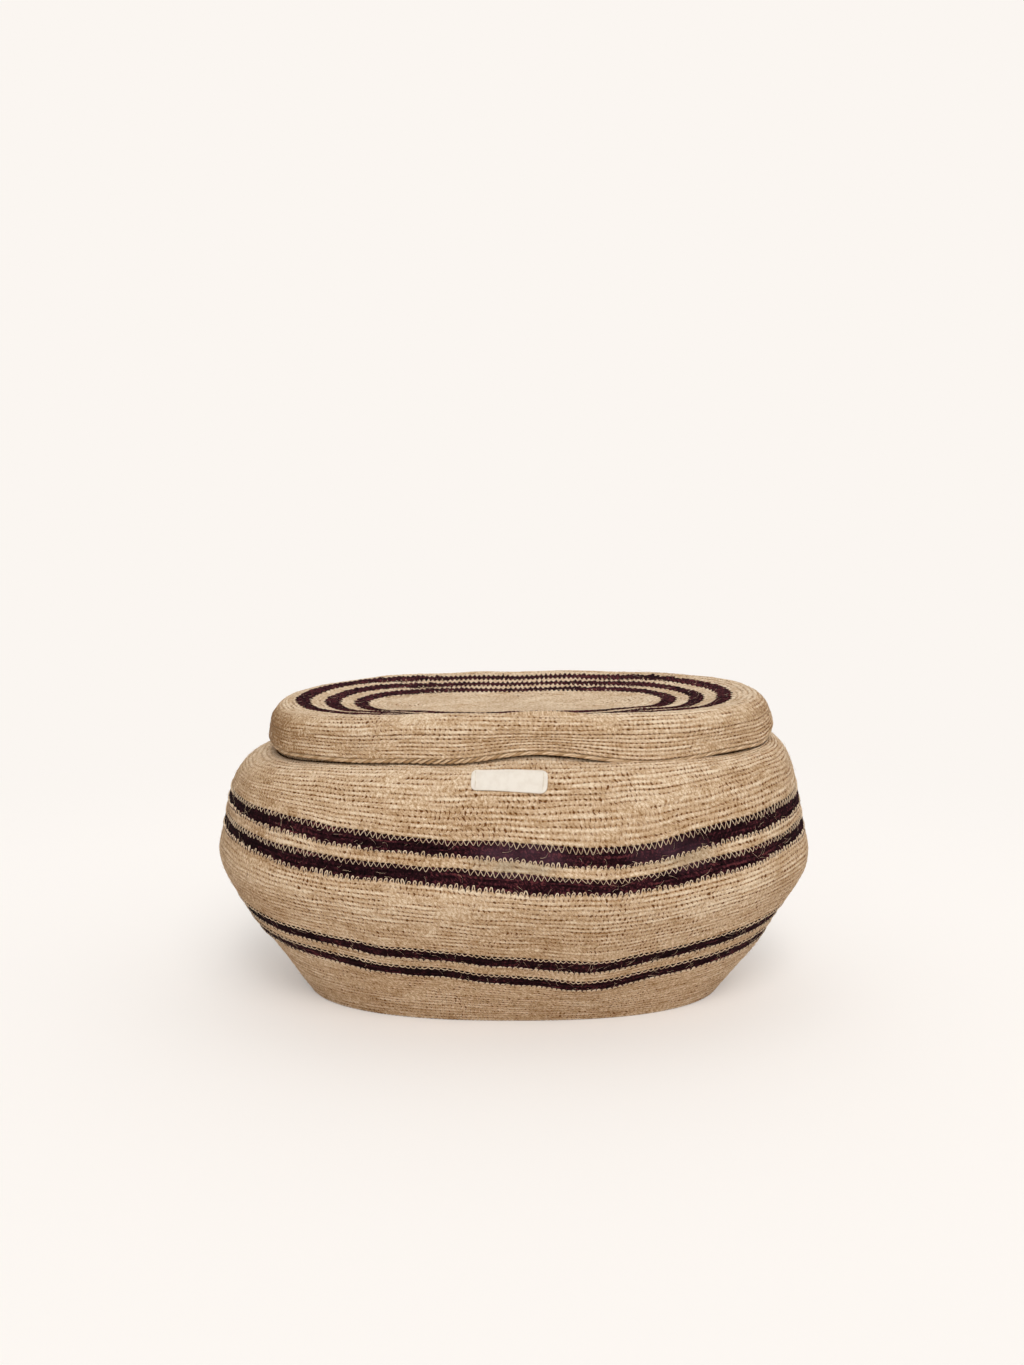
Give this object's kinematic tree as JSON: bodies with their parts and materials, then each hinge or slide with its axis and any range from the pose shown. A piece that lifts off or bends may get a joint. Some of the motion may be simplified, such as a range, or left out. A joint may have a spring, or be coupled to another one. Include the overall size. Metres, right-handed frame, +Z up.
{
  "type": "lidded oval basket",
  "caption": "Oval storage basket of coiled and stitched seagrass with dark dyed stripes, a flared body, a collar and a lift-off dished lid.",
  "frame": {"origin": "on the floor, under the middle of the oval base", "axes": "+X along the long side of the oval towards the right end, +Y from the front with the label towards the back, +Z up"},
  "size_m": [0.49, 0.3514, 0.2493],
  "materials": {
    "natural_seagrass": "matt straw-coloured coils with whip stitches",
    "dyed_seagrass": "matt coils dyed dark aubergine",
    "label_cotton": "matt cream woven tape",
    "label_thread": "matt cream sewing thread"
  },
  "bodies": {
    "basket": {"base_panel": "natural_seagrass", "lower_wall": "natural_seagrass", "lower_stripe_bottom": "dyed_seagrass", "lower_stripe_gap": "natural_seagrass", "lower_stripe_top": "dyed_seagrass", "belly_wall": "natural_seagrass", "belly_stripe_bottom": "dyed_seagrass", "belly_stripe_gap": "natural_seagrass", "belly_stripe_top": "dyed_seagrass", "shoulder_wall": "natural_seagrass", "neck_collar": "natural_seagrass", "mouth_rim": "natural_seagrass", "front_label": "label_cotton", "label_stitch_left": "label_thread", "label_stitch_right": "label_thread"},
    "lid": {"lid_edge_cord": "natural_seagrass", "lid_skirt": "natural_seagrass", "lid_shoulder": "natural_seagrass", "lid_ring_outer": "dyed_seagrass", "lid_gap_outer": "natural_seagrass", "lid_ring_middle": "dyed_seagrass", "lid_gap_middle": "natural_seagrass", "lid_ring_inner": "dyed_seagrass", "lid_centre": "natural_seagrass"}
  },
  "joints": [
    {"name": "lid_lift", "type": "slide", "parent": "basket", "child": "lid", "axis": [0, 0, 1], "range_m": [0, 0.15]}
  ]
}
